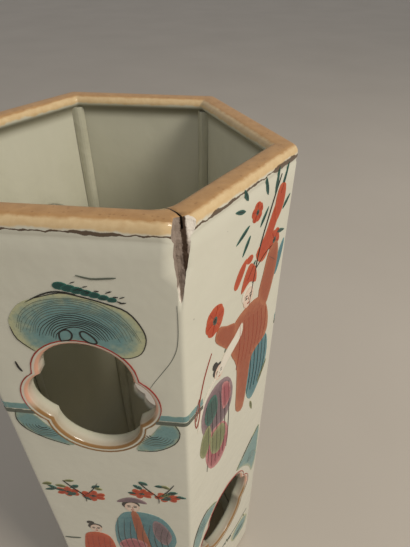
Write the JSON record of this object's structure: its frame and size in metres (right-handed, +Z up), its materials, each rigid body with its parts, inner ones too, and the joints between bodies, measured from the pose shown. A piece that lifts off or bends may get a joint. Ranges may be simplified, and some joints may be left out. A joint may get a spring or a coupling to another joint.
{
  "type": "openwork vase",
  "caption": "Tall hexagonal porcelain vase of the hat-stand kind, with a lobed window through each wall, an open top and a raised floor.",
  "frame": {"origin": "centre of the foot on the ground plane", "axes": "+Z up along the vase's axis; -Y is the outward normal of the front wall, which has its window near the rim; +X to the right of it"},
  "size_m": [0.1234, 0.1074, 0.282],
  "materials": {
    "wall_glaze": "glossy pale grey-green glaze with overglaze enamels",
    "rim_glaze": "tan, speckled, with a thin glaze",
    "coil_glaze": "thin uneven glaze",
    "bare_clay": "unglazed, matt"
  },
  "bodies": {
    "root": {"wall_slab_front": "wall_glaze", "rim_strip_front": "rim_glaze", "base_coil_front": "coil_glaze", "wall_slab_front_right": "wall_glaze", "rim_strip_front_right": "rim_glaze", "base_coil_front_right": "coil_glaze", "wall_slab_back_right": "wall_glaze", "rim_strip_back_right": "rim_glaze", "base_coil_back_right": "coil_glaze", "wall_slab_back": "wall_glaze", "rim_strip_back": "rim_glaze", "base_coil_back": "coil_glaze", "wall_slab_back_left": "wall_glaze", "rim_strip_back_left": "rim_glaze", "base_coil_back_left": "coil_glaze", "wall_slab_front_left": "wall_glaze", "rim_strip_front_left": "rim_glaze", "base_coil_front_left": "coil_glaze", "corner_coil_front_right": "coil_glaze", "corner_coil_right": "coil_glaze", "corner_coil_back_right": "coil_glaze", "corner_coil_back_left": "coil_glaze", "corner_coil_left": "coil_glaze", "corner_coil_front_left": "coil_glaze", "base_slab": "bare_clay"}
  },
  "joints": []
}
